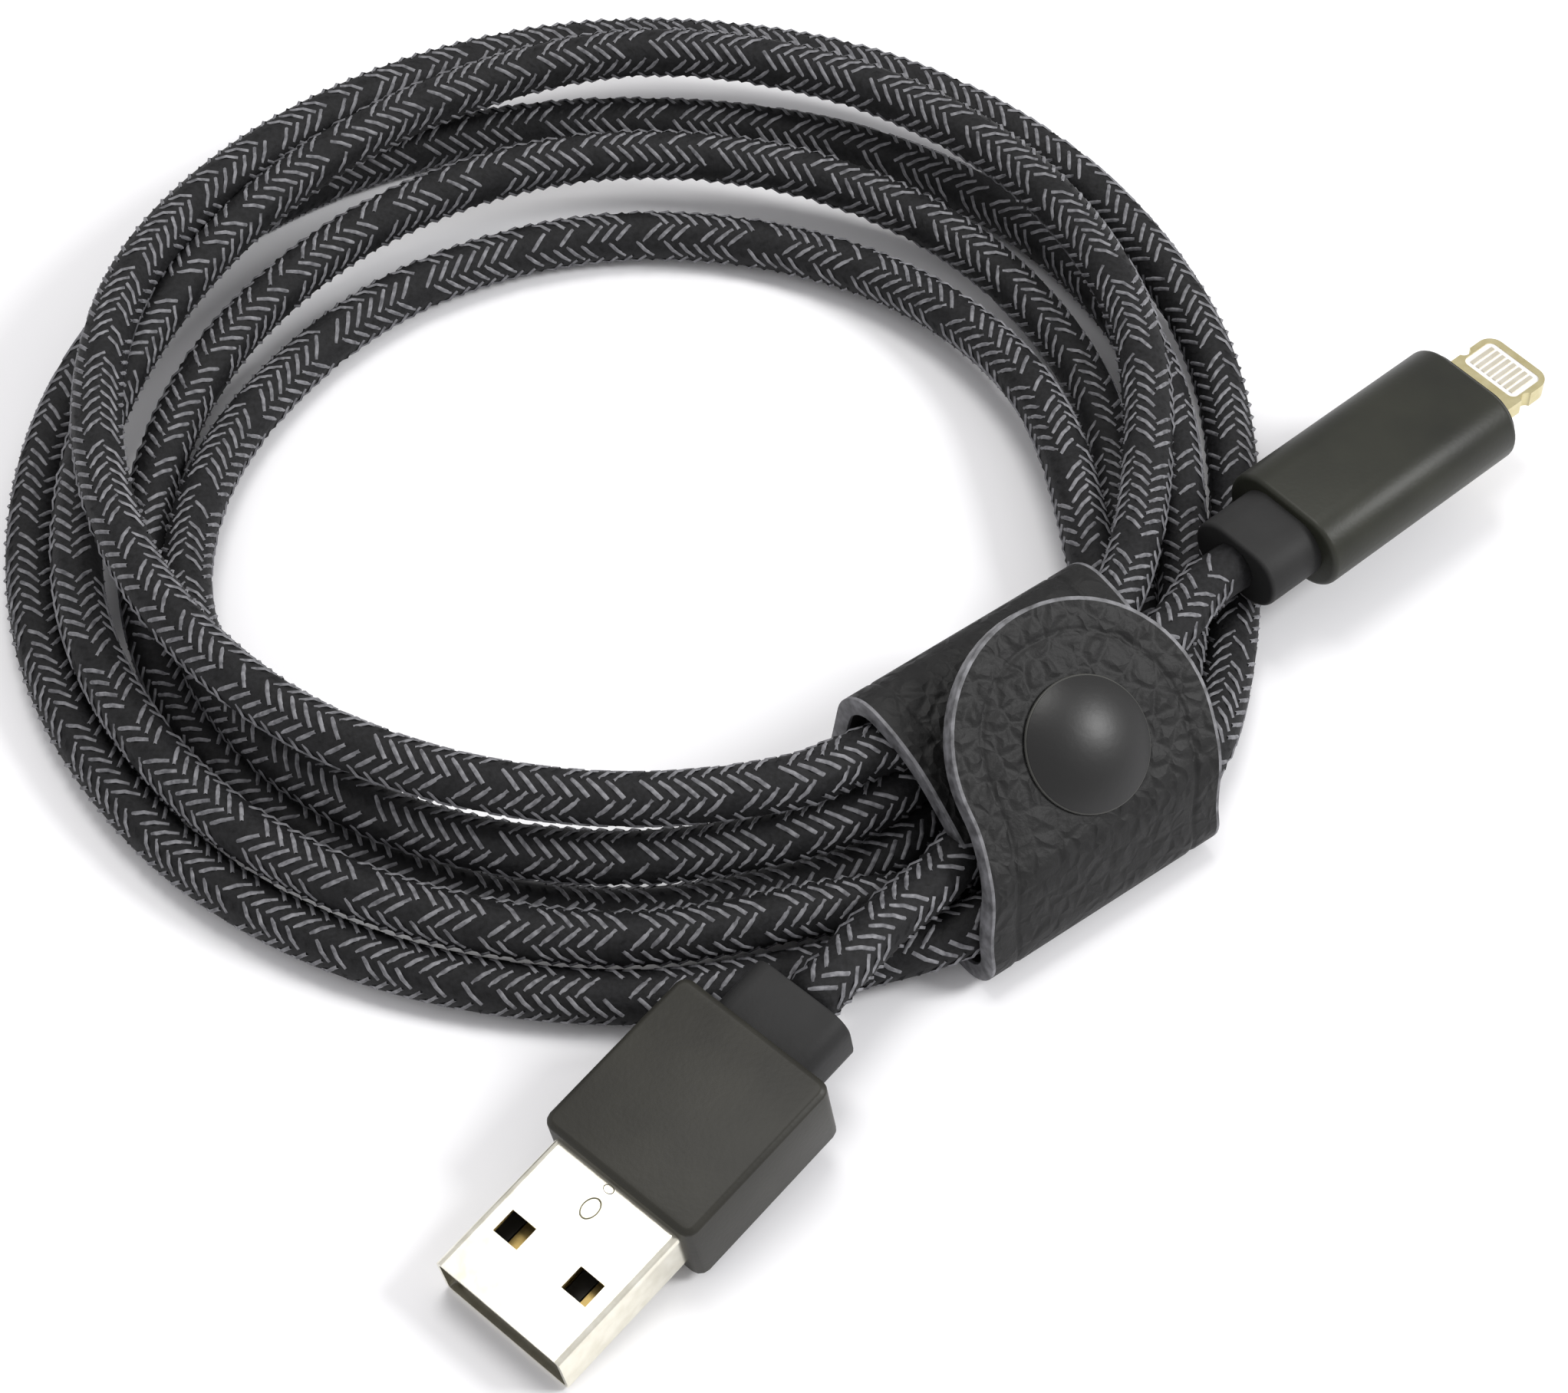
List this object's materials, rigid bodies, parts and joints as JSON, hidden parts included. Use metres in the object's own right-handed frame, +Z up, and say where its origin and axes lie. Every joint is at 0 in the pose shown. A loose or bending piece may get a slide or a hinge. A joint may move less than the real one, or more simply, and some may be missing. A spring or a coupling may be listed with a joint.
{
  "type": "charging cable",
  "caption": "Braided charging cable, USB-A to a flat eight-contact plug, coiled and held by a black leather strap.",
  "frame": {"origin": "centre of the strap's underside, where it rests on a table", "axes": "+Z up; the coil lies flat towards -X and +Y of the strap, and both plugs point away from it"},
  "size_m": [0.1249, 0.1323, 0.0204],
  "materials": {
    "braid": "woven",
    "leather": "pebbled",
    "plated_steel": "polished",
    "satin_grey": "satin",
    "soft_black": "matte",
    "black_plastic": "matte",
    "pale_plastic": "gloss",
    "grey_plastic": "matte",
    "gold": "polished",
    "wire": "gloss",
    "board": "gloss",
    "snap_black": "satin",
    "snap_steel": "satin"
  },
  "bodies": {
    "cable": {"usb_shell": "plated_steel", "usb_tongue": "black_plastic", "usb_contacts": "gold", "usb_inner_mould": "grey_plastic", "usb_wires": "wire", "usb_crimp": "plated_steel", "usb_housing": "satin_grey", "usb_boot": "soft_black", "tab_frame": "plated_steel", "tab_insulator": "pale_plastic", "tab_contacts": "gold", "tab_board": "board", "tab_chip": "black_plastic", "tab_inner_mould": "grey_plastic", "tab_wires": "wire", "tab_crimp": "plated_steel", "tab_collar": "soft_black", "tab_housing": "satin_grey", "tab_boot": "soft_black", "cord_coil": "braid", "usb_tail": "braid", "tab_tail": "braid", "strap_band": "leather", "strap_lining": "leather", "snap_stud": "snap_steel", "snap_post": "snap_steel"},
    "flap": {"strap_flap": "leather", "flap_lining": "leather", "snap_cap": "snap_black", "snap_socket": "snap_steel", "snap_spring": "snap_steel"}
  },
  "joints": [
    {"name": "flap_fold", "type": "hinge", "parent": "cable", "child": "flap", "pos_m": [0.00632, -0.00839, 0.00419], "axis": [0.7986, 0.6018, 0], "range_deg": [0, 120]}
  ]
}
